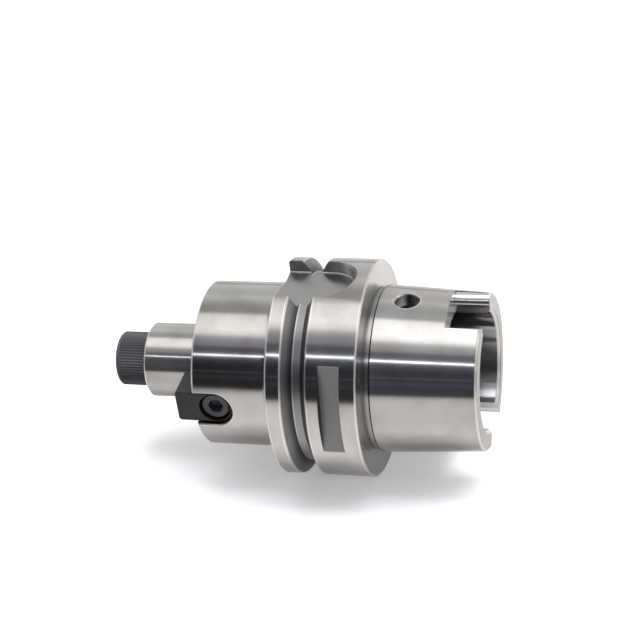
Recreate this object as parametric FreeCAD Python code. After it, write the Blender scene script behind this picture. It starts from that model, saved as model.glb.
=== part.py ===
# Shell mill arbor: hollow taper shank, grooved flange, body, pilot, two drive keys and the retaining screw.
# Millimetres. X runs along the axis, with +X to the shank end and x = 0 on the flange's contact face.
# Z is up, through the two gripper slots. -Y is the side that the photograph shows.
import math
import os

import FreeCAD, Part

V = FreeCAD.Vector

# Flange
flange_d = 63.0
rear_collar_w = 14.2
front_collar_w = 4.2
flange_bevel = 0.4
groove_w = 7.0
groove_depth = 4.0
groove_angle = 60.0
groove_bevel = 0.3

# Taper shank
gauge_d = 48.01
gauge_x = 6.3
taper_ratio = 9.98
shank_len = 32.0
shank_bevel = 0.7
relief_depth = 0.82
relief_rim = 0.5
relief_lip = 0.25
relief_groove = 0.35
relief_land = 1.0
relief_step = 0.15
relief_rise = 0.3
relief_ramp = 0.3

# Inside of the shank
mouth_wall = 7.005
bore_bevel = 1.0
clamp_edge = 18.13
clamp_angle = 30.0
room_wall = 4.005
cavity_len = 35.0
tube_bore_d = 16.92
tube_bore_len = 16.0
tube_bevel = 0.8

# Drive slots across the end of the shank
end_slot_w = 12.54
end_slot_len = 10.0
end_slot_round = 3.0

# Access hole for a hand clamping set
access_d = 7.0
access_x = 10.0
access_bevel = 0.5

# Gripper slots in the flange, top and bottom
grip_top_w = 18.0
grip_bottom_w = 16.0
grip_depth = 5.0
grip_end = 4.5
grip_corner = 0.6
grip_bevel_depth = 1.5
grip_bevel_slope = 0.5

# Flat in the rear collar
flat_angle = 11.4
flat_depth = 2.87
flat_w = 6.2
flat_centre = 7.75

# Body and pilot
body_d = 48.0
body_len = 50.0
body_fillet = 3.0
body_bevel = 0.6
pilot_d = 22.0
pilot_len = 19.0
pilot_bevel = 0.6

# Retaining screw
screw_d = 10.0
screw_len = 25.0
screw_tip_bevel = 0.9
screw_head_d = 16.0
screw_head_h = 10.0
screw_head_bevel = 0.8
screw_hex = 8.0
screw_hex_depth = 5.0
knurl_teeth = 60
knurl_depth = 0.3
knurl_margin = 0.9
screw_gap = 0.05
screw_spare = 7.0
screw_mouth = 0.5
socket_lead = 0.12

# Drive keys
key_w = 10.0
key_proud = 5.6
key_tail = 11.2
key_sink = 1.5
key_clear = 1.5
key_round = 1.0
key_bevel = 0.3
key_gap = 0.4
key_rim = 0.3
key_wall = 0.35

# Key screws
lock_d = 5.0
lock_head_h = 5.0
lock_head_bevel = 0.5
lock_hex = 4.0
lock_hex_depth = 2.5
lock_offset = 0.3
lock_sink = 0.85
lock_room = 0.4
lock_hole_room = 0.25
lock_gap = 0.05
lock_spare = 0.4
lock_clear = 1.55

drill_angle = 118.0
REACH = 200.0

flange_r = flange_d / 2
groove_centre = rear_collar_w + groove_bevel + groove_w / 2
flange_w = rear_collar_w + groove_w + 2 * groove_bevel + front_collar_w
grip_floor = flange_r - grip_depth
clamp_bore_r = gauge_d / 2 - mouth_wall
clamp_room_r = gauge_d / 2 - room_wall
body_r = body_d / 2
corner_r = min(body_fillet, 0.9 * (flange_r - flange_bevel - body_r))
groove_half = groove_w / 2 - groove_depth * math.tan(math.radians(groove_angle / 2))
relief_w = relief_lip + relief_groove + relief_land + 2 * relief_step
pilot_r = pilot_d / 2
pilot_end = -body_len - pilot_len
screw_hole_r = screw_d / 2 + screw_gap
key_r = key_w / 2
key_tail_x = -body_len + key_tail - key_r
key_front_x = -body_len - key_proud
key_pocket_r = key_r + key_gap
key_outer = body_r - key_sink
key_seat = pilot_r + key_clear
lock_axis_x = key_tail_x - lock_offset
lock_sink_r = key_r - key_wall
lock_head_r = lock_sink_r - lock_room
lock_top = key_outer - lock_sink
lock_seat = lock_top - lock_head_h
lock_tip = screw_hole_r + lock_clear


def taper_r(x):
    """Radius of the shank's taper at x."""
    return gauge_d / 2 - (x - gauge_x) / taper_ratio / 2


def polygon(points):
    """Closed face through (y, z) points."""
    corners = [V(0, a, b) for a, b in points]
    return Part.Face(Part.makePolygon(corners + corners[:1]))


def turned(points):
    """Solid turned about the X axis from (x, radius) points. A pair of points is an arc's middle and end."""
    edges = []
    here = V(points[0][0], 0, points[0][1])
    for item in points[1:] + points[:1]:
        if isinstance(item[0], tuple):
            middle, end = [V(x, 0, r) for x, r in item]
            edges.append(Part.Arc(here, middle, end).toShape())
        else:
            end = V(item[0], 0, item[1])
            edges.append(Part.LineSegment(here, end).toShape())
        here = end
    return Part.Face(Part.Wire(edges)).revolve(V(0, 0, 0), V(1, 0, 0), 360)


def hexagon(across_flats):
    """Corner points of a hexagon with two flats facing along the first coordinate."""
    r = across_flats / math.sqrt(3)
    return [(r * math.cos(math.radians(60 * k + 30)), r * math.sin(math.radians(60 * k + 30))) for k in range(6)]


def drill_tip(radius):
    """Length of the cone that a drill leaves at the bottom of its hole."""
    return radius / math.tan(math.radians(drill_angle / 2))


def turn_x(shape, degrees):
    """Copy of the shape turned about the arbor's axis."""
    moved = shape.copy()
    moved.rotate(V(0, 0, 0), V(1, 0, 0), degrees)
    return moved


def outer_profile():
    """Turned outline from the pilot's end face to the shank's end face."""
    step = groove_w / 2 + groove_bevel
    relief_r = taper_r(0) - relief_depth
    land_x = relief_lip + relief_groove + relief_step
    land_r = relief_r + relief_rise
    half_turn = math.sqrt(0.5)
    return [
        (pilot_end, 0),
        (pilot_end, pilot_r - pilot_bevel),
        (pilot_end + pilot_bevel, pilot_r),
        (-body_len, pilot_r),
        (-body_len, body_r - body_bevel),
        (-body_len + body_bevel, body_r),
        (-flange_w - corner_r, body_r),
        ((-flange_w - corner_r * (1 - half_turn), body_r + corner_r * (1 - half_turn)),
         (-flange_w, body_r + corner_r)),
        (-flange_w, flange_r - flange_bevel),
        (-flange_w + flange_bevel, flange_r),
        (-groove_centre - step, flange_r),
        (-groove_centre - groove_w / 2, flange_r - groove_bevel),
        (-groove_centre - groove_half, flange_r - groove_depth),
        (-groove_centre + groove_half, flange_r - groove_depth),
        (-groove_centre + groove_w / 2, flange_r - groove_bevel),
        (-groove_centre + step, flange_r),
        (-flange_bevel, flange_r),
        (0, flange_r - flange_bevel),
        (0, taper_r(0) + relief_rim),
        (relief_lip, relief_r),
        (relief_lip + relief_groove, relief_r),
        (land_x, land_r),
        (land_x + relief_land, land_r),
        (relief_w, relief_r),
        (relief_w + relief_ramp, taper_r(relief_w + relief_ramp)),
        (shank_len - shank_bevel, taper_r(shank_len - shank_bevel)),
        (shank_len, taper_r(shank_len) - shank_bevel),
        (shank_len, 0),
    ]


def cavity():
    """Hollow of the shank, with the clamping shoulder and the coolant tube's bore."""
    bore_r = clamp_bore_r
    room_r = clamp_room_r
    tube_r = tube_bore_d / 2
    shoulder = shank_len - clamp_edge
    shoulder_run = (room_r - bore_r) / math.tan(math.radians(clamp_angle))
    floor = shank_len - cavity_len
    tube_end = floor - tube_bore_len
    return turned([
        (shank_len + 1, 0),
        (shank_len + 1, bore_r + bore_bevel),
        (shank_len, bore_r + bore_bevel),
        (shank_len - bore_bevel, bore_r),
        (shoulder, bore_r),
        (shoulder - shoulder_run, room_r),
        (floor + 1, room_r),
        (floor, room_r - 1),
        (floor, tube_r + tube_bevel),
        (floor - tube_bevel, tube_r),
        (tube_end, tube_r),
        (tube_end - drill_tip(tube_r), 0),
    ])


def screw_hole():
    """Tapped hole in the pilot's end, plain at the screw's running size."""
    r = screw_hole_r
    end = pilot_end + screw_len + screw_spare
    return turned([
        (pilot_end - 1, 0),
        (pilot_end - 1, r + screw_mouth),
        (pilot_end, r + screw_mouth),
        (pilot_end + screw_mouth, r),
        (end, r),
        (end + drill_tip(r), 0),
    ])


def end_slot():
    """Drive slot across one wall of the shank's end, with rounded outer edges, on the +Z side."""
    half = end_slot_w / 2
    r = end_slot_round
    root = math.sqrt(clamp_bore_r ** 2 - half ** 2) - 1
    crest = math.sqrt(taper_r(shank_len) ** 2 - (half + r) ** 2)
    start = V(0, half, crest - r)
    middle = V(0, half + r * (1 - math.cos(math.radians(45))), crest - r + r * math.sin(math.radians(45)))
    end = V(0, half + r, crest)

    def mirror(point):
        return V(0, -point.y, point.z)

    top = flange_r
    edges = [
        Part.LineSegment(V(0, half, root), start).toShape(),
        Part.Arc(start, middle, end).toShape(),
        Part.LineSegment(end, V(0, half + r, top)).toShape(),
        Part.LineSegment(V(0, half + r, top), V(0, -half - r, top)).toShape(),
        Part.LineSegment(V(0, -half - r, top), mirror(end)).toShape(),
        Part.Arc(mirror(end), mirror(middle), mirror(start)).toShape(),
        Part.LineSegment(mirror(start), V(0, -half, root)).toShape(),
        Part.LineSegment(V(0, -half, root), V(0, half, root)).toShape(),
    ]
    slot = Part.Face(Part.Wire(edges)).extrude(V(end_slot_len + 1, 0, 0))
    slot.translate(V(shank_len - end_slot_len, 0, 0))
    return slot


def grip_slot(width):
    """Gripper slot from the flange's front face to a round end, with a bevelled rim, on the +Z side."""
    half = width / 2
    centre = -grip_end - half
    front = -flange_w - corner_r - 1
    height = flange_r - grip_floor + 1
    channel = Part.makeBox(centre - front, width, height, V(front, -half, grip_floor))
    slot = channel.fuse(Part.makeCylinder(half, height, V(centre, 0, grip_floor), V(0, 0, 1))).removeSplitter()
    floor_edges = [e for e in slot.Edges if all(abs(v.Z - grip_floor) < 1e-6 for v in e.Vertexes)]
    slot = slot.makeFillet(grip_corner, [e for e in floor_edges if abs(e.BoundBox.XMin - front) > 1e-3
                                         or e.BoundBox.XLength > 1e-3])
    bevel_from = flange_r - grip_bevel_depth
    rise = grip_bevel_depth + 1
    flare = half + rise * grip_bevel_slope
    rim = Part.makeCone(half, flare, rise, V(centre, 0, bevel_from), V(0, 0, 1))
    side = polygon([(-half, bevel_from), (half, bevel_from),
                     (flare, bevel_from + rise), (-flare, bevel_from + rise)])
    side = side.extrude(V(centre - front, 0, 0))
    side.translate(V(front, 0, 0))
    return slot.fuse(rim).fuse(side)


def flat_cut():
    """Block that cuts the flat in the rear collar, on the -Y side and a little above the middle."""
    far = -flange_r + flat_depth - REACH
    block = Part.makeBox(flat_w, REACH, flange_d, V(-flat_centre - flat_w / 2, far, -flange_r))
    return turn_x(block, -flat_angle)


def access_hole():
    """Radial hole through the upper wall of the shank, bevelled outside."""
    r = access_d / 2
    surface = taper_r(access_x)
    hole = Part.makeCylinder(r, surface, V(access_x, 0, clamp_room_r / 2), V(0, 0, 1))
    sag = surface - math.sqrt(surface ** 2 - (r + access_bevel) ** 2)
    start = surface - sag - access_bevel / 2
    rise = sag + access_bevel / 2 + 1
    rim = Part.makeCone(r, r + rise * 0.6, rise, V(access_x, 0, start), V(0, 0, 1))
    return hole.fuse(rim)


def key_outline(gap, front_x, corner):
    """Face in the XY plane: straight sides, round tail, and corners rounded at the front if asked."""
    half = key_r + gap
    tail = V(key_tail_x + half, 0, 0)
    upper = V(key_tail_x, half, 0)
    lower = V(key_tail_x, -half, 0)
    if corner > 0:
        cut = corner * (1 - math.cos(math.radians(45)))
        edges = [
            Part.LineSegment(lower, V(front_x + corner, -half, 0)).toShape(),
            Part.Arc(V(front_x + corner, -half, 0), V(front_x + cut, -half + cut, 0),
                     V(front_x, -half + corner, 0)).toShape(),
            Part.LineSegment(V(front_x, -half + corner, 0), V(front_x, half - corner, 0)).toShape(),
            Part.Arc(V(front_x, half - corner, 0), V(front_x + cut, half - cut, 0),
                     V(front_x + corner, half, 0)).toShape(),
            Part.LineSegment(V(front_x + corner, half, 0), upper).toShape(),
        ]
    else:
        edges = [
            Part.LineSegment(lower, V(front_x, -half, 0)).toShape(),
            Part.LineSegment(V(front_x, -half, 0), V(front_x, half, 0)).toShape(),
            Part.LineSegment(V(front_x, half, 0), upper).toShape(),
        ]
    edges.append(Part.Arc(upper, tail, lower).toShape())
    return Part.Face(Part.Wire(edges))


def key_pocket():
    """Pocket for a key and its screw in the body, on the +Z side."""
    front = -body_len - 1
    top = body_r + 1
    pocket = key_outline(key_gap, front, 0).extrude(V(0, 0, top - key_seat))
    pocket.translate(V(0, 0, key_seat))
    r = lock_d / 2 + lock_gap
    bottom = lock_tip - lock_spare
    hole = Part.makeCylinder(r, key_seat + 1 - bottom, V(lock_axis_x, 0, bottom), V(0, 0, 1))
    tip = Part.makeCone(0, r, drill_tip(r) / 2, V(lock_axis_x, 0, bottom - drill_tip(r) / 2), V(0, 0, 1))
    return pocket.fuse(hole).fuse(tip)


def on_pocket_rim(edge):
    """True for an edge where a key's pocket opens through the outside of the body."""
    for k in range(5):
        point = edge.valueAt(edge.FirstParameter + (edge.LastParameter - edge.FirstParameter) * k / 4)
        out = math.hypot(max(0, point.x - key_tail_x), point.z)
        if abs(out - key_pocket_r) > 1e-3 or abs(math.hypot(point.y, point.z) - body_r) > 1e-3:
            return False
    return True


def drive_key():
    """Drive key with its screw hole, on the +Z side."""
    key = key_outline(0, key_front_x, key_round).extrude(V(0, 0, key_outer - key_seat))
    key.translate(V(0, 0, key_seat))
    rims = [e for e in key.Edges if all(abs(v.Z - key_outer) < 1e-6 for v in e.Vertexes)]
    key = key.makeChamfer(key_bevel, rims)
    sink = Part.makeCylinder(lock_sink_r, REACH, V(lock_axis_x, 0, lock_seat), V(0, 0, 1))
    hole = Part.makeCylinder(lock_d / 2 + lock_hole_room, REACH, V(lock_axis_x, 0, 0), V(0, 0, 1))
    return key.cut(sink).cut(hole)


def cap_screw(head_profile, shank_profile, flats, flats_depth, head_top):
    """Socket head screw pointing along +X from a head whose top face is at head_top."""
    screw = turned(head_profile + shank_profile)
    socket = polygon(hexagon(flats)).extrude(V(flats_depth + 1, 0, 0))
    socket.translate(V(head_top - 1, 0, 0))
    inner_r = flats / 2
    mouth_r = flats / math.sqrt(3) + socket_lead
    lead = Part.makeCone(mouth_r, inner_r, (mouth_r - inner_r) / 2, V(head_top, 0, 0), V(1, 0, 0))
    tip = Part.makeCone(inner_r, 0, inner_r / 2, V(head_top + flats_depth, 0, 0), V(1, 0, 0))
    return screw.cut(socket).cut(lead).cut(tip)


def retaining_screw():
    """Retaining screw, head against the pilot's end, with a straight knurl round the head."""
    top = pilot_end - screw_head_h
    tip = pilot_end + screw_len
    r = screw_d / 2
    head_r = screw_head_d / 2
    head = [(top, 0), (top, head_r - screw_head_bevel), (top + screw_head_bevel, head_r),
            (pilot_end - 0.3, head_r), (pilot_end, head_r - 0.3)]
    shank = [(pilot_end, r), (tip - screw_tip_bevel, r), (tip, r - screw_tip_bevel), (tip, 0)]
    screw = cap_screw(head, shank, screw_hex, screw_hex_depth, top)
    root = head_r - knurl_depth
    pitch = 2 * math.pi / knurl_teeth
    teeth = []
    for k in range(knurl_teeth):
        teeth.append((root * math.cos(pitch * k), root * math.sin(pitch * k)))
        teeth.append((head_r * math.cos(pitch * (k + 0.5)), head_r * math.sin(pitch * (k + 0.5))))
    knurl_from = top + knurl_margin
    knurl_to = pilot_end - knurl_margin
    band = polygon(teeth).extrude(V(knurl_to - knurl_from, 0, 0))
    band.translate(V(knurl_from, 0, 0))
    ring = turned([(knurl_from, root - 1), (knurl_to, root - 1), (knurl_to, head_r + 1), (knurl_from, head_r + 1)])
    return screw.cut(ring.cut(band))


def key_screw():
    """Screw of a key, pointing to the axis from the +Z side."""
    r = lock_d / 2
    head = [(-lock_top, 0), (-lock_top, lock_head_r - lock_head_bevel),
            (-lock_top + lock_head_bevel, lock_head_r), (-lock_seat, lock_head_r)]
    shank = [(-lock_seat, r), (-lock_tip - 0.5, r), (-lock_tip, r - 0.5), (-lock_tip, 0)]
    screw = cap_screw(head, shank, lock_hex, lock_hex_depth, -lock_top)
    screw.rotate(V(0, 0, 0), V(0, 1, 0), 90)
    screw.translate(V(lock_axis_x, 0, 0))
    return screw


def holder_body():
    """Shank, flange, body and pilot in one piece."""
    body = turned(outer_profile()).cut(cavity()).cut(screw_hole())
    for side in (0, 180):
        body = body.cut(turn_x(end_slot(), side))
        body = body.cut(turn_x(key_pocket(), side + 90))
    body = body.makeChamfer(key_rim, [e for e in body.Edges if on_pocket_rim(e)])
    body = body.cut(grip_slot(grip_top_w)).cut(turn_x(grip_slot(grip_bottom_w), 180))
    body = body.cut(flat_cut()).cut(access_hole())
    return body.removeSplitter()


parts = {
    "holder_body": holder_body(),
    "drive_key_front": turn_x(drive_key(), 90),
    "drive_key_rear": turn_x(drive_key(), -90),
    "key_screw_front": turn_x(key_screw(), 90),
    "key_screw_rear": turn_x(key_screw(), -90),
    "retaining_screw": retaining_screw(),
}

os.makedirs("parts", exist_ok=True)
for name, shape in parts.items():
    if len(shape.Solids) != 1 or not shape.isValid():
        raise ValueError(name + " is not one valid solid")
    box = shape.BoundBox
    print(name, round(shape.Volume, 1), [round(v, 2) for v in
          (box.XMin, box.XMax, box.YMin, box.YMax, box.ZMin, box.ZMax)])
    shape.Solids[0].exportStep("parts/" + name + ".step")
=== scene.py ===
# Looks of the shell mill arbor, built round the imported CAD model. Lengths in the models are metres.
# X runs along the arbor to its shank end, Z is up and -Y is the side that the photograph shows.
import math

import bmesh
import bpy
from mathutils import Matrix, Vector


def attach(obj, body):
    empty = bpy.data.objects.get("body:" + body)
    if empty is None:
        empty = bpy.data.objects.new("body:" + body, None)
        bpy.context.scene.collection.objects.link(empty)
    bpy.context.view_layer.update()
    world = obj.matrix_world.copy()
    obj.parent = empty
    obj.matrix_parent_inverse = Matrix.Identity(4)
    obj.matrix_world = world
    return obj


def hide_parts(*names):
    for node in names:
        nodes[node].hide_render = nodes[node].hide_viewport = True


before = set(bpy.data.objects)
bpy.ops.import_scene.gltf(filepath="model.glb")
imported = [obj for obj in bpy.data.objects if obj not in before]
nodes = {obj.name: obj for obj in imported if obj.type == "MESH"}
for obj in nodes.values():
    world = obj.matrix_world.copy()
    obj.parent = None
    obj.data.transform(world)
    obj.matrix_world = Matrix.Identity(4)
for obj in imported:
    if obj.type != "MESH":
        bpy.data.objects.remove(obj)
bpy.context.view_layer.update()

MM = 0.001

# Camera, fitted to the rims of the flange, the body and the taper in the photograph
PHOTO_PX = 640.0
FOCAL_PX = 1871.4
SENSOR_MM = 36.0
CAMERA_YAW = 0.259
CAMERA_ROLL = 0.032
LIE_ANGLE = math.radians(35.0)
ORIGIN_PX = (381.10, 367.525)
ORIGIN_DEPTH = 540.73 * MM
CLIP_NEAR = 0.01
CLIP_FAR = 50.0

# Floor and lamp, in metres
FLOOR_Z = -31.5 * MM
FLOOR_REACH = 30.0
LAMP_PLACE = (0.19, 0.065, 0.8)
LAMP_LENGTH = 1.0
LAMP_WIDTH = 0.45
LAMP_WATTS = 9.3

# Sizes of the part that its materials and pieces follow, in mm
PILOT_R = 11.0
BODY_R = 24.0
FLANGE_R = 31.5
GROOVE_R = 27.5
GROOVE_X = -18.0
GROOVE_HALF = 1.19
GROOVE_SLOPE = 0.624
GROOVE_RIM = 3.65
BODY_FACE_X = -50.0
FLANGE_FACE_X = -26.0
PILOT_END_X = -69.0
GAUGE_R = 24.005
GAUGE_X = 6.3
TAPER_RUN = 19.96
SHANK_END_X = 32.0
CLAMP_BORE_R = 17.0
CLAMP_EDGE_X = 13.87
RELIEF_END_X = 2.15
END_SLOT_X = 22.0
END_SLOT_SIDE = 9.4
END_SLOT_FLOOR = 14.0
KEY_TAIL_X = -43.8
KEY_POCKET_R = 5.4
ACCESS_X = 10.0
ACCESS_R = 3.5
FLAT_TURN = math.radians(11.4)
FLAT_DEPTH = 28.63
FLAT_X = -7.75
FLAT_HALF = 3.1

# Distance from a plane, in mm, up to which a surface counts as lying in it
IN_PLANE = 0.02

# Relief between the contact face and the taper, in mm: its middle and half its width along x, and
# the radius that it stays below
RELIEF_X = 1.1
RELIEF_HALF = 1.08
RELIEF_R = 24.9

# Two thin lines of painted shade round the relief, in mm: middle and half width along x, then along the
# radius
RELIEF_SHADE_AT = (0.42, 0.14, 23.55, 0.2)
RELIEF_CORNER_SHADE_AT = (1.97, 0.2, 23.7, 0.45)

# Turned corners that get a painted highlight: x and radius, in mm
HIGHLIGHT_CORNERS = (
    (PILOT_END_X + 0.3, PILOT_R - 0.3),
    (BODY_FACE_X + 0.3, BODY_R - 0.3),
    (FLANGE_FACE_X + 0.2, FLANGE_R - 0.2),
    (GROOVE_X - GROOVE_RIM, FLANGE_R - 0.15),
    (GROOVE_X + GROOVE_RIM, FLANGE_R - 0.15),
    (-0.2, FLANGE_R - 0.2),
    (SHANK_END_X - 0.35, 22.4),
    (SHANK_END_X - 0.5, CLAMP_BORE_R + 0.5),
)

# Colours of the steel: pairs are the two ends of a faint variation
GROUND = ((0.48, 0.473, 0.463), (0.55, 0.543, 0.534))
MILLED = ((0.40, 0.40, 0.40), (0.49, 0.485, 0.48))
# The groove flank's pair is painted shade: dark at the groove bottom, lighter towards its rim
GROOVE_FLANK_SHADE = ((0.09, 0.09, 0.095), (0.33, 0.33, 0.34))
GROOVE_BOTTOM = (0.50, 0.50, 0.51)
# Painted highlight along a corner of the groove bottom
GROOVE_HIGHLIGHT = (0.85, 0.85, 0.85)
# Painted shade for a thin line in the relief
RELIEF_SHADE = (0.26, 0.26, 0.265)
# Painted shade for dark lines on the groove's right flank, in the relief's corner and on the flat's left wall
PAINTED_SHADE_LINE = (0.09, 0.09, 0.095)
FLAT = (0.22, 0.22, 0.225)
# Painted light: the end slots' walls are lighter than the steel, and their flanks lighter still
SLOT_WALL_PAINTED_LIGHT = (0.59, 0.59, 0.60)
SLOT_FLANK_PAINTED_LIGHT = (0.80, 0.80, 0.81)
BORE = (0.58, 0.58, 0.595)
# Painted highlight on edges and rims
EDGE_HIGHLIGHT = (0.80, 0.79, 0.78)

# Light of the studio round the arbor: degrees up from the front horizon over the top, and the light there
STUDIO = (
    (-180, (0.50, 0.50, 0.51)),
    (-2, (0.032, 0.033, 0.035)),
    (4, (0.020, 0.021, 0.023)),
    (9, (0.018, 0.019, 0.021)),
    (15.5, (0.044, 0.046, 0.050)),
    (19, (0.018, 0.019, 0.022)),
    (22.4, (0.018, 0.019, 0.022)),
    (22.7, (0.26, 0.27, 0.29)),
    (23.1, (0.26, 0.27, 0.29)),
    (23.4, (0.018, 0.019, 0.022)),
    (33, (0.026, 0.028, 0.033)),
    (38, (0.058, 0.062, 0.074)),
    (44.3, (0.15, 0.16, 0.19)),
    (44.7, (4.2, 4.3, 4.5)),
    (45.7, (4.2, 4.3, 4.5)),
    (46.1, (0.22, 0.235, 0.27)),
    (51, (0.115, 0.12, 0.14)),
    (55, (0.125, 0.13, 0.145)),
    (57.2, (0.16, 0.165, 0.18)),
    (57.9, (0.29, 0.29, 0.305)),
    (61, (0.33, 0.33, 0.34)),
    (68, (0.42, 0.41, 0.41)),
    (71.5, (0.62, 0.59, 0.58)),
    (76, (1.16, 1.11, 1.07)),
    (84, (1.42, 1.36, 1.31)),
    (96, (1.34, 1.26, 1.21)),
    (105, (1.16, 1.11, 1.07)),
    (110, (0.41, 0.40, 0.39)),
    (122, (0.42, 0.42, 0.41)),
    (139, (0.82, 0.81, 0.78)),
    (150, (0.70, 0.69, 0.68)),
    (180, (0.80, 0.80, 0.80)),
)
STUDIO_ENDS = (0.55, 0.55, 0.56)
STUDIO_HAZE = (0.050, 0.053, 0.061)
SOFTBOX_GAIN = (0.20, 0.28, 0.36)

# Colour of the floor for the camera, and for metal near the arbor and far from it; the dark colour far off is
# a painted reflection
FLOOR_SEEN = (0.80, 0.825, 0.85)
FLOOR_NEAR = (0.53, 0.52, 0.515)
FLOOR_FAR = (0.12, 0.12, 0.125)


def plug(tree, socket, value):
    """Links a socket to the value, or sets it where the value is a number or a colour."""
    if isinstance(value, bpy.types.NodeSocket):
        tree.links.new(value, socket)
    elif isinstance(value, (tuple, list)) and len(value) == 3 and socket.type == "RGBA":
        socket.default_value = (*value, 1.0)
    else:
        socket.default_value = value


def maths(tree, operation, *values):
    """Math node; returns its output."""
    made = tree.nodes.new("ShaderNodeMath")
    made.operation = operation
    for socket, value in zip(made.inputs, values):
        plug(tree, socket, value)
    return made.outputs[0]


def total(tree, first, *others):
    """Sum of several values."""
    for other in others:
        first = maths(tree, "ADD", first, other)
    return first


def product(tree, first, *others):
    """Product of several values."""
    for other in others:
        first = maths(tree, "MULTIPLY", first, other)
    return first


def minus(tree, first, second):
    """Difference of two values."""
    return maths(tree, "SUBTRACT", first, second)


def larger(tree, first, *others):
    """Largest of several values."""
    for other in others:
        first = maths(tree, "MAXIMUM", first, other)
    return first


def above(tree, value, limit):
    """1 where the value is above the limit, else 0."""
    return maths(tree, "GREATER_THAN", value, limit)


def below(tree, value, limit):
    """1 where the value is below the limit, else 0."""
    return maths(tree, "LESS_THAN", value, limit)


def near(tree, value, target, within):
    """1 where the value is that near to the target, else 0."""
    return maths(tree, "COMPARE", value, target, within)


def band(tree, x, radius, at_x, half_x, at_radius, half_radius):
    """1 in a band round the axis, else 0."""
    return product(tree, near(tree, x, at_x, half_x), near(tree, radius, at_radius, half_radius))


def spread(tree, value, low, high, out_low=0.0, out_high=1.0):
    """Value mapped from one range to another, smoothly and kept inside it."""
    made = tree.nodes.new("ShaderNodeMapRange")
    made.interpolation_type = "SMOOTHSTEP"
    for name, given in zip(("Value", "From Min", "From Max", "To Min", "To Max"),
                           (value, low, high, out_low, out_high)):
        plug(tree, made.inputs[name], given)
    return made.outputs["Result"]


def blend(tree, factor, first, second):
    """Mix of two colours."""
    made = tree.nodes.new("ShaderNodeMix")
    made.data_type = "RGBA"
    plug(tree, made.inputs["Factor"], factor)
    plug(tree, made.inputs["A"], first)
    plug(tree, made.inputs["B"], second)
    return made.outputs["Result"]


def joined(tree, x, y, z):
    """Vector from three values."""
    made = tree.nodes.new("ShaderNodeCombineXYZ")
    for socket, value in zip(made.inputs, (x, y, z)):
        plug(tree, socket, value)
    return made.outputs[0]


def vector_math(tree, operation, **values):
    """Vector Math node with its inputs set by name; A, B and C are its vectors. Returns the node."""
    made = tree.nodes.new("ShaderNodeVectorMath")
    made.operation = operation
    for name, value in values.items():
        socket = made.inputs["ABC".index(name)] if name in "ABC" else made.inputs[name]
        plug(tree, socket, value)
    return made


def distance(tree, x, y, at_x, at_y):
    """Distance from a point in a plane."""
    return vector_math(tree, "DISTANCE", A=joined(tree, x, y, 0.0), B=(at_x, at_y, 0.0)).outputs["Value"]


def noise(tree, vector, scale, detail=2.0, roughness=0.5):
    """Noise value at a vector."""
    made = tree.nodes.new("ShaderNodeTexNoise")
    for name, value in (("Vector", vector), ("Scale", scale), ("Detail", detail), ("Roughness", roughness)):
        plug(tree, made.inputs[name], value)
    return made.outputs["Fac"]


def place(tree):
    """Coordinates on the part in mm: x, y, z, the distance from the axis, and the point itself."""
    coords = tree.nodes.new("ShaderNodeTexCoord")
    point = vector_math(tree, "SCALE", A=coords.outputs["Object"], Scale=1 / MM).outputs[0]
    parts = tree.nodes.new("ShaderNodeSeparateXYZ")
    plug(tree, parts.inputs[0], point)
    x, y, z = parts.outputs
    radius = maths(tree, "SQRT", total(tree, product(tree, y, y), product(tree, z, z)))
    return x, y, z, radius, point


def material(name):
    """New node material; returns it with its tree and shader."""
    made = bpy.data.materials.new(name)
    made.use_nodes = True
    return made, made.node_tree, made.node_tree.nodes["Principled BSDF"]


def bumped(tree, shader, height, metres):
    """Gives the shader a bump from that height map, which stands for so many metres."""
    bump = tree.nodes.new("ShaderNodeBump")
    bump.inputs["Strength"].default_value = 1.0
    bump.inputs["Distance"].default_value = metres
    plug(tree, bump.inputs["Height"], height)
    plug(tree, shader.inputs["Normal"], bump.outputs[0])


def outside(tree, x, radius):
    """1 on the outside of the pilot, the body, the flange and the taper."""
    past_body_face = above(tree, x, BODY_FACE_X - IN_PLANE)
    past_flange_face = above(tree, x, FLANGE_FACE_X - IN_PLANE)
    past_relief = above(tree, x, RELIEF_END_X)
    taper = minus(tree, GAUGE_R, maths(tree, "DIVIDE", minus(tree, x, GAUGE_X), TAPER_RUN))
    outer = total(tree, PILOT_R, product(tree, past_body_face, BODY_R - PILOT_R),
                  product(tree, past_flange_face, FLANGE_R - BODY_R),
                  product(tree, past_relief, minus(tree, taper, FLANGE_R)))
    return near(tree, radius, outer, 0.09)


def groove(tree, x, radius):
    """1 on the V-groove's flanks, and 1 on its bottom."""
    aside = maths(tree, "ABSOLUTE", minus(tree, x, GROOVE_X))
    rise = minus(tree, radius, GROOVE_R)
    off_flank = minus(tree, aside, product(tree, rise, GROOVE_SLOPE))
    flanks = product(tree, near(tree, off_flank, GROOVE_HALF, 0.1), near(tree, radius, GROOVE_R + 1.85, 1.83))
    bottom = product(tree, near(tree, radius, GROOVE_R, 0.05), below(tree, aside, GROOVE_HALF + 0.1))
    return flanks, bottom


def flat(tree, x, y, z):
    """1 on the flat in the rear collar, and 1 on its left wall."""
    sine, cosine = math.sin(FLAT_TURN), math.cos(FLAT_TURN)
    depth = minus(tree, product(tree, z, sine), product(tree, y, cosine))
    along = total(tree, product(tree, y, sine), product(tree, z, cosine))
    face = product(tree, near(tree, depth, FLAT_DEPTH, 0.03), near(tree, x, FLAT_X, FLAT_HALF + 0.1))
    wall = product(tree, near(tree, x, FLAT_X - FLAT_HALF, 0.03), near(tree, depth, FLAT_DEPTH + 1.5, 1.47),
                   near(tree, along, 0.0, 12.9))
    return face, wall


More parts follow.
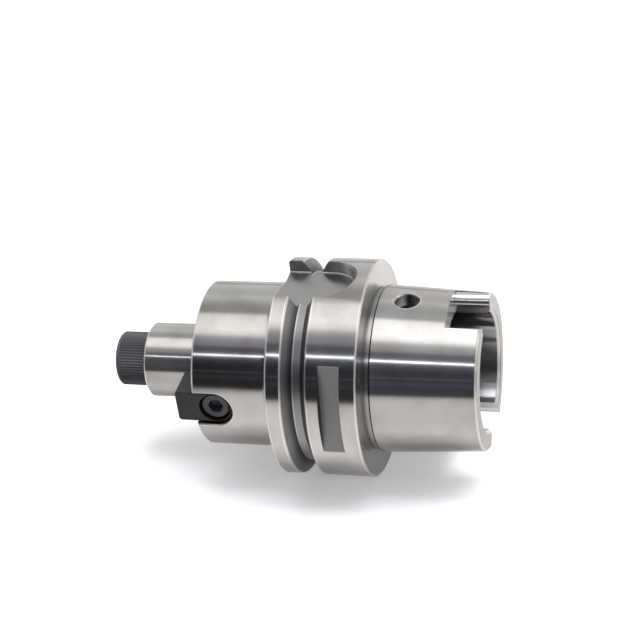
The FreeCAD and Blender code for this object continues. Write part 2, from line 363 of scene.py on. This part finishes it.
def painted_edge_highlights(tree, x, y, z, radius):
    """Painted highlights: 1 along the turned corners and round the rims of the key pockets and the access
    hole.
    """
    away = None
    for corner in HIGHLIGHT_CORNERS:
        from_corner = distance(tree, x, radius, *corner)
        away = from_corner if away is None else maths(tree, "MINIMUM", away, from_corner)
    corners = spread(tree, away, 0.5, 0.3)
    past_tail = larger(tree, 0.0, minus(tree, x, KEY_TAIL_X))
    pocket = product(tree, near(tree, distance(tree, past_tail, z, 0.0, 0.0), KEY_POCKET_R + 0.15, 0.3),
                     above(tree, radius, BODY_R - 0.7), near(tree, x, BODY_FACE_X + 6.0, 6.2))
    hole = product(tree, near(tree, distance(tree, x, y, ACCESS_X, 0.0), ACCESS_R + 0.3, 0.28),
                   above(tree, z, 23.0))
    return larger(tree, corners, larger(tree, pocket, hole))


def ground_steel():
    """Hardened steel, ground where it fits something, finely turned or milled elsewhere."""
    made, tree, shader = material("ground_steel")
    x, y, z, radius, point = place(tree)
    bore = product(tree, near(tree, radius, CLAMP_BORE_R, 0.06), above(tree, x, CLAMP_EDGE_X))
    end_slot = product(tree, above(tree, x, END_SLOT_X - 0.1),
                       below(tree, maths(tree, "ABSOLUTE", y), END_SLOT_SIDE),
                       above(tree, maths(tree, "ABSOLUTE", z), END_SLOT_FLOOR))
    faces = larger(tree, *[near(tree, x, face, IN_PLANE) for face in (0.0, BODY_FACE_X, SHANK_END_X)])
    relief = product(tree, near(tree, x, RELIEF_X, RELIEF_HALF), below(tree, radius, RELIEF_R))
    flanks, bottom = groove(tree, x, radius)
    in_groove = larger(tree, flanks, bottom)
    on_flat, flat_wall = flat(tree, x, y, z)
    # Painted highlights along corners and rims
    edges = painted_edge_highlights(tree, x, y, z, radius)
    ground = total(tree, outside(tree, x, radius), product(tree, relief, 0.6), end_slot, bore,
                   product(tree, faces, 0.7))
    ground = maths(tree, "MINIMUM", 1.0, ground)
    milled = minus(tree, 1.0, ground)

    rings = joined(tree, x, radius, 0.0)
    fine = noise(tree, rings, 2.6, 3.0, 0.7)
    broad = noise(tree, rings, 0.45, 2.0)
    patch = noise(tree, point, 0.11, 3.0)
    grain = noise(tree, point, 3.0, 2.0, 0.7)

    rough_ground = total(tree, 0.115, product(tree, fine, 0.05), product(tree, broad, 0.03))
    rough_milled = total(tree, 0.30, product(tree, grain, 0.10))
    roughness = total(tree, product(tree, ground, rough_ground), product(tree, milled, rough_milled),
                      product(tree, edges, 0.05), product(tree, in_groove, 0.2))
    plug(tree, shader.inputs["Roughness"], roughness)

    colour = blend(tree, ground, blend(tree, grain, *MILLED),
                   blend(tree, spread(tree, patch, 0.35, 0.65), *GROUND))
    # Painted shade on the groove flanks, darker towards the groove bottom
    flank_painted_shade = blend(tree, spread(tree, minus(tree, radius, GROOVE_R), 0.0, 2.8), *GROOVE_FLANK_SHADE)
    groove_colour = blend(tree, bottom, flank_painted_shade, GROOVE_BOTTOM)
    # Painted highlight along the groove bottom's left corner, fading downwards
    painted_glint = product(tree, bottom, near(tree, x, GROOVE_X - 1.0, 0.17), spread(tree, z, -12.0, 4.0))
    # Painted shade: a thin line in the relief
    relief_shade = band(tree, x, radius, *RELIEF_SHADE_AT)
    # Painted shade: dark lines on the groove's right flank, in the relief's corner and on the flat's left
    # wall
    painted_shade_lines = larger(tree, product(tree, flanks, above(tree, x, GROOVE_X)),
                        band(tree, x, radius, *RELIEF_CORNER_SHADE_AT), flat_wall)
    # Painted light inside the end slots, on their walls and flanks
    slot_sides = product(tree, end_slot, below(tree, x, SHANK_END_X - 0.1))
    slot_flanks = product(tree, slot_sides, above(tree, x, END_SLOT_X + 0.1))
    for where, there in ((in_groove, groove_colour), (painted_glint, GROOVE_HIGHLIGHT), (relief_shade, RELIEF_SHADE),
                         (painted_shade_lines, PAINTED_SHADE_LINE), (on_flat, FLAT), (slot_sides, SLOT_WALL_PAINTED_LIGHT),
                         (slot_flanks, SLOT_FLANK_PAINTED_LIGHT), (bore, BORE), (edges, EDGE_HIGHLIGHT)):
        colour = blend(tree, where, colour, there)
    plug(tree, shader.inputs["Base Color"], colour)

    # The pilot is a little duller than the rest
    on_pilot = below(tree, x, BODY_FACE_X - IN_PLANE)
    plug(tree, shader.inputs["Metallic"], minus(tree, 1.0, product(tree, on_pilot, 0.09)))

    # Grinding and turning marks run round the axis
    shader.inputs["Anisotropic"].default_value = 0.9
    shader.inputs["Anisotropic Rotation"].default_value = 0.25
    marks = tree.nodes.new("ShaderNodeTangent")
    marks.direction_type = "RADIAL"
    marks.axis = "X"
    plug(tree, shader.inputs["Tangent"], marks.outputs[0])
    height = total(tree, product(tree, fine, ground), product(tree, grain, minus(tree, 4.0, ground)))
    bumped(tree, shader, height, 3e-7)
    return made


def black_oxide(name, colour, roughness):
    """Blackened steel with faint mottling."""
    made, tree, shader = material(name)
    point = place(tree)[-1]
    patch = noise(tree, point, 0.5, 4.0, 0.6)
    grain = noise(tree, point, 6.0, 2.0, 0.6)
    lighter = tuple(1.35 * c for c in colour)
    plug(tree, shader.inputs["Base Color"], blend(tree, patch, colour, lighter))
    plug(tree, shader.inputs["Roughness"], total(tree, roughness, product(tree, grain, 0.1)))
    shader.inputs["Metallic"].default_value = 0.25
    bumped(tree, shader, grain, 1.5e-6)
    return made


def linked(name, data):
    """New object with that data in the scene."""
    made = bpy.data.objects.new(name, data)
    bpy.context.scene.collection.objects.link(made)
    return made


def retaining_screw():
    """M10 screw with a knurled head, a hexagon socket and a real thread, in one closed mesh."""
    columns = 120
    thread_rings = 250
    seat = PILOT_END_X
    head_top = seat - 10.0
    tip = seat + 25.0
    head_r, shank_r, root_r, neck_r = 8.0, 4.97, 4.1, 4.67
    pitch = 1.5
    run_in = 1.2
    crest, slope = 0.12, 0.76
    tip_bevel = 0.9
    knurl_depth = 0.3
    hex_r = 4.0
    mouth_r = 4.95
    socket_floor = head_top + 5.0
    drill_tip = 1.6

    def circle(r):
        return [r] * columns

    def hexagon():
        radii = []
        for k in range(columns):
            turn = 2 * math.pi * k / columns
            radii.append(hex_r / math.cos(turn % (math.pi / 3) - math.pi / 6))
        return radii

    def knurled():
        return [head_r - (knurl_depth if k % 2 else 0.0) for k in range(columns)]

    def threaded(x):
        radii = []
        for k in range(columns):
            phase = ((x - seat) / pitch - k / columns) % 1.0
            flank = abs(2 * phase - 1)
            r = root_r + (shank_r - root_r) * min(1.0, max(0.0, (flank - crest) / slope))
            r = min(r, shank_r - max(0.0, x - (tip - tip_bevel)))
            radii.append(neck_r + (r - neck_r) * min(1.0, max(0.0, (x - seat) / run_in)))
        return radii

    rings = [
        (socket_floor, hexagon()),
        (head_top + 0.4, hexagon()),
        (head_top, circle(mouth_r)),
        (head_top, circle(head_r - 0.8)),
        (head_top + 0.12, circle(head_r - 0.55)),
        (head_top + 0.55, circle(head_r - 0.12)),
        (head_top + 0.8, circle(head_r)),
        (head_top + 0.95, circle(head_r)),
        (head_top + 1.15, knurled()),
        (seat - 1.1, knurled()),
        (seat - 0.9, circle(head_r)),
        (seat - 0.3, circle(head_r)),
        (seat, circle(head_r - 0.3)),
        (seat, circle(neck_r)),
    ]
    for k in range(thread_rings):
        x = seat + (tip - seat) * (k + 1) / thread_rings
        rings.append((x, threaded(x)))

    mesh = bmesh.new()
    built = []
    for x, radii in rings:
        ring = []
        for k, r in enumerate(radii):
            turn = 2 * math.pi * k / columns
            ring.append(mesh.verts.new((x * MM, r * math.cos(turn) * MM, r * math.sin(turn) * MM)))
        built.append(ring)
    for first, second in zip(built, built[1:]):
        for k in range(columns):
            after = (k + 1) % columns
            mesh.faces.new((first[k], first[after], second[after], second[k]))
    for ring, x in ((built[0], socket_floor + drill_tip), (built[-1], tip)):
        middle = mesh.verts.new((x * MM, 0, 0))
        for k in range(columns):
            mesh.faces.new((middle, ring[k], ring[(k + 1) % columns]))
    bmesh.ops.recalc_face_normals(mesh, faces=mesh.faces)
    data = bpy.data.meshes.new("clamp_screw")
    mesh.to_mesh(data)
    mesh.free()
    return linked("clamp_screw", data)


def shade_by_angle(obj, degrees):
    """Smooth shading, sharp at edges over that angle."""
    data = obj.data
    mesh = bmesh.new()
    mesh.from_mesh(data)
    for edge in mesh.edges:
        edge.smooth = len(edge.link_faces) == 2 and edge.calc_face_angle(0.0) < math.radians(degrees)
    for face in mesh.faces:
        face.smooth = True
    mesh.to_mesh(data)
    mesh.free()


def camera():
    """Camera of the photograph."""
    view = Matrix(((1, 0, 0), (0, 0, -1), (0, 1, 0)))
    turn = (Matrix.Rotation(CAMERA_ROLL, 3, "Z") @ view @ Matrix.Rotation(CAMERA_YAW, 3, "Z").transposed()
            @ Matrix.Rotation(LIE_ANGLE, 3, "X"))
    across, down = [(pixel - PHOTO_PX / 2) / FOCAL_PX for pixel in ORIGIN_PX]
    eye = -(turn.transposed() @ (ORIGIN_DEPTH * Vector((across, down, 1.0))))
    right, downward, forward = turn
    pose = Matrix((right, -downward, -forward)).transposed().to_4x4()
    pose.translation = eye
    data = bpy.data.cameras.new("camera")
    data.sensor_width = SENSOR_MM
    data.lens = SENSOR_MM * FOCAL_PX / PHOTO_PX
    data.clip_start = CLIP_NEAR
    data.clip_end = CLIP_FAR
    made = linked("camera", data)
    made.matrix_world = pose
    bpy.context.scene.camera = made


def light_path(tree, *names):
    """1 for rays of any of the named kinds."""
    path = tree.nodes.new("ShaderNodeLightPath")
    return larger(tree, *[path.outputs[name] for name in names])


def studio():
    """World: a softbox overhead, a thin strip light and a dark room in front, a grey wall behind."""
    world = bpy.data.worlds.new("studio")
    bpy.context.scene.world = world
    world.use_nodes = True
    tree = world.node_tree
    tree.nodes.clear()
    coords = tree.nodes.new("ShaderNodeTexCoord")
    parts = tree.nodes.new("ShaderNodeSeparateXYZ")
    plug(tree, parts.inputs[0], coords.outputs["Generated"])
    x, y, z = parts.outputs
    angle = maths(tree, "ARCTAN2", z, product(tree, y, -1.0))
    share = total(tree, maths(tree, "DIVIDE", angle, 2 * math.pi), 0.5)

    # All but the far left is lit more and hazier, and the softbox ends a little past the middle
    lit = product(tree, spread(tree, x, -0.26, -0.12), spread(tree, share, 0.87, 0.81))
    box = product(tree, lit, spread(tree, share, 0.66, 0.69), spread(tree, x, 0.0, -0.1))

    ramp = tree.nodes.new("ShaderNodeValToRGB")
    plug(tree, ramp.inputs[0], total(tree, share, product(tree, box, 0.006)))
    bands = ramp.color_ramp
    bands.interpolation = "LINEAR"
    while len(bands.elements) > 1:
        bands.elements.remove(bands.elements[-1])
    for count, (degrees, light) in enumerate(STUDIO):
        at = degrees / 360 + 0.5
        stop = bands.elements[0] if count == 0 else bands.elements.new(at)
        stop.position = at
        stop.color = (*light, 1.0)

    gain = [total(tree, 1.0, product(tree, lit, 0.45), product(tree, box, more)) for more in SOFTBOX_GAIN]
    haze = [product(tree, lit, more) for more in STUDIO_HAZE]
    light = vector_math(tree, "MULTIPLY_ADD", A=ramp.outputs[0], B=joined(tree, *gain), C=joined(tree, *haze))
    ends = spread(tree, maths(tree, "ABSOLUTE", x), 0.75, 0.95)
    back = tree.nodes.new("ShaderNodeBackground")
    plug(tree, back.inputs["Color"], blend(tree, ends, light.outputs[0], STUDIO_ENDS))
    white = tree.nodes.new("ShaderNodeBackground")
    plug(tree, white.inputs["Color"], (1.0, 1.0, 1.0))
    mix = tree.nodes.new("ShaderNodeMixShader")
    plug(tree, mix.inputs[0], light_path(tree, "Is Camera Ray", "Is Transmission Ray"))
    plug(tree, mix.inputs[1], back.outputs[0])
    plug(tree, mix.inputs[2], white.outputs[0])
    out = tree.nodes.new("ShaderNodeOutputWorld")
    plug(tree, out.inputs[0], mix.outputs[0])


def floor():
    """White floor that keeps the arbor's shadow. Metal sees it a little darker, with painted light and shade
    near the arbor and a painted dark reflection far off.
    """
    data = bpy.data.meshes.new("floor")
    corners = [(side_x * FLOOR_REACH, side_y * FLOOR_REACH, FLOOR_Z)
               for side_x, side_y in ((-1, -1), (1, -1), (1, 1), (-1, 1))]
    data.from_pydata(corners, [], [(0, 1, 2, 3)])
    made = linked("floor", data)
    look = bpy.data.materials.new("floor")
    look.use_nodes = True
    tree = look.node_tree
    tree.nodes.clear()
    seen = light_path(tree, "Is Camera Ray", "Is Transmission Ray")
    x, y = place(tree)[:2]

    # Painted light and shade in what metal sees of the floor: a lighter strip below the flange, and darker
    # ones below the shank and the pilot
    # Painted reflection: for metal the floor turns dark far off in front
    far = product(tree, spread(tree, distance(tree, x, y, -15.0, 0.0), 150.0, 1600.0),
                  spread(tree, y, 100.0, -100.0))
    along = minus(tree, x, product(tree, y, 0.33))
    painted_light_strip = product(tree, spread(tree, along, -24.0, -10.0), spread(tree, along, 12.0, 4.0))
    painted_shade_strips = total(tree, product(tree, spread(tree, along, 4.0, 16.0), 0.08),
                product(tree, spread(tree, along, -40.0, -60.0), 0.14))
    shade = total(tree, 1.0, product(tree, painted_light_strip, 0.16), product(tree, painted_shade_strips, -1.0))
    reflected = vector_math(tree, "SCALE", A=blend(tree, far, FLOOR_NEAR, FLOOR_FAR), Scale=shade).outputs[0]
    paint = tree.nodes.new("ShaderNodeBsdfDiffuse")
    plug(tree, paint.inputs["Color"], blend(tree, seen, reflected, FLOOR_SEEN))

    # A weak glow keeps the white for the camera, and is painted light that lightens what metal sees close
    # under the arbor
    under = product(tree, minus(tree, 1.0, seen), spread(tree, y, -65.0, -25.0),
                    spread(tree, total(tree, y, x), 60.0, 15.0))
    glow = tree.nodes.new("ShaderNodeEmission")
    plug(tree, glow.inputs["Color"], (1.0, 1.0, 1.0))
    plug(tree, glow.inputs["Strength"], total(tree, product(tree, seen, 0.29), product(tree, under, 0.16)))
    both = tree.nodes.new("ShaderNodeAddShader")
    plug(tree, both.inputs[0], paint.outputs[0])
    plug(tree, both.inputs[1], glow.outputs[0])
    out = tree.nodes.new("ShaderNodeOutputMaterial")
    plug(tree, out.inputs[0], both.outputs[0])
    data.materials.append(look)


def lamp():
    """Large lamp overhead. It lights the floor and makes the soft shadow, and isn't mirrored in the metal."""
    data = bpy.data.lights.new("overhead", "AREA")
    data.shape = "RECTANGLE"
    data.size = LAMP_LENGTH
    data.size_y = LAMP_WIDTH
    data.energy = LAMP_WATTS
    made = linked("overhead", data)
    made.location = LAMP_PLACE
    made.visible_glossy = False


def dress(obj, look):
    """Puts one material on an object."""
    obj.data.materials.clear()
    obj.data.materials.append(look)


steel = ground_steel()
key_black = black_oxide("black_key", (0.018, 0.020, 0.023), 0.36)
screw_black = black_oxide("black_screw", (0.066, 0.066, 0.074), 0.40)
dress(nodes["holder_body"], steel)
for side in ("front", "rear"):
    dress(nodes["drive_key_" + side], key_black)
    dress(nodes["key_screw_" + side], screw_black)

screw = retaining_screw()
shade_by_angle(screw, 30)
dress(screw, screw_black)
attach(screw, "screw")
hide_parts("retaining_screw")

camera()
studio()
floor()
lamp()
bpy.context.scene.view_settings.view_transform = "Standard"
